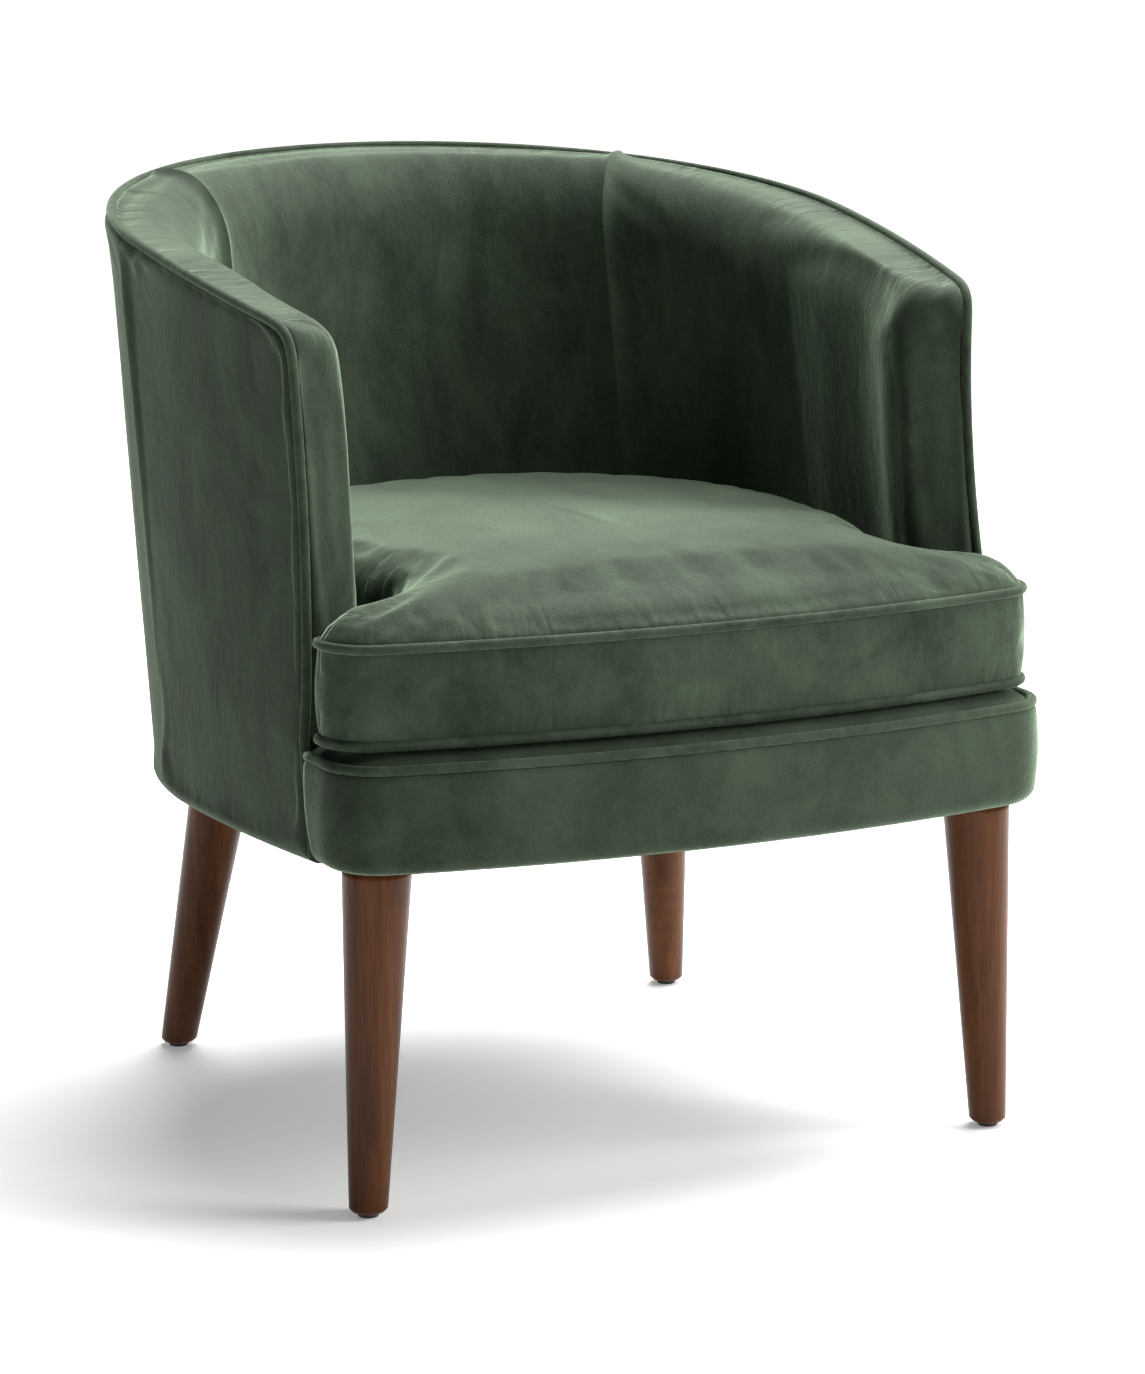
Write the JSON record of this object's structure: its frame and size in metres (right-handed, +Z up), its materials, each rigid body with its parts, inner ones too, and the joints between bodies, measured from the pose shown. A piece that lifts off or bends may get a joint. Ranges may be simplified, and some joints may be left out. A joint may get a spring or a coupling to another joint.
{
  "type": "tub chair",
  "caption": "Upholstered tub chair: a curved padded back that runs down into the arms, a loose T-shaped seat cushion, piped edges and short tapered wooden legs.",
  "frame": {"origin": "on the floor, under the middle of the chair's outline in plan", "axes": "+Z up; the chair faces -Y; +X to the right of someone who stands in front and faces the chair"},
  "size_m": [0.6738, 0.768, 0.787],
  "materials": {
    "velvet": "velvet",
    "piping": "velvet",
    "foam": "matt",
    "hessian": "matt",
    "lining_board": "matt",
    "frame_wood": "raw",
    "leg_wood": "satin",
    "steel": "satin",
    "glide": "matt",
    "dust_cloth": "matt",
    "zip_tape": "matt",
    "zip_metal": "satin"
  },
  "bodies": {
    "chair": {"leg_front_left": "leg_wood", "leg_front_right": "leg_wood", "leg_back_left": "leg_wood", "leg_back_right": "leg_wood", "glide_front_left": "glide", "glide_front_right": "glide", "glide_back_left": "glide", "glide_back_right": "glide", "leg_bolts": "steel", "t_nuts": "steel", "front_rail": "frame_wood", "back_rail": "frame_wood", "side_rail_left": "frame_wood", "side_rail_right": "frame_wood", "block_front_left": "frame_wood", "block_front_right": "frame_wood", "block_back_left": "frame_wood", "block_back_right": "frame_wood", "arm_post_left": "frame_wood", "arm_post_right": "frame_wood", "top_rail": "frame_wood", "upright_1": "frame_wood", "upright_2": "frame_wood", "upright_3": "frame_wood", "upright_4": "frame_wood", "zigzag_spring_1": "steel", "zigzag_spring_2": "steel", "zigzag_spring_3": "steel", "zigzag_spring_4": "steel", "zigzag_spring_5": "steel", "spring_clips": "steel", "seat_hessian": "hessian", "deck_pad": "foam", "deck_cloth": "velvet", "dust_cover": "dust_cloth", "wall_hessian": "hessian", "outside_lining": "lining_board", "back_padding": "foam", "arm_padding_left": "foam", "arm_padding_right": "foam", "rail_padding": "foam", "outside_cover": "velvet", "inside_back_cover": "velvet", "inside_arm_cover_left": "velvet", "inside_arm_cover_right": "velvet", "rim_piping": "piping", "front_border_cover": "velvet", "front_border_piping": "piping"},
    "seat_cushion": {"cushion_core": "foam", "cushion_top_panel": "velvet", "cushion_bottom_panel": "velvet", "cushion_boxing": "velvet", "cushion_piping_top": "piping", "cushion_piping_bottom": "piping", "zip_boxing": "velvet", "cushion_zip": "zip_tape"},
    "zip_slider": {"zip_slider": "zip_metal"}
  },
  "joints": [
    {"name": "cushion_lift", "type": "slide", "parent": "chair", "child": "seat_cushion", "axis": [0, 0, 1], "range_m": [0, 0.43]},
    {"name": "zip_slide", "type": "hinge", "parent": "seat_cushion", "child": "zip_slider", "pos_m": [0, -0.03174, 0.4209], "axis": [0, 0, 1], "range_deg": [0, 61]}
  ]
}
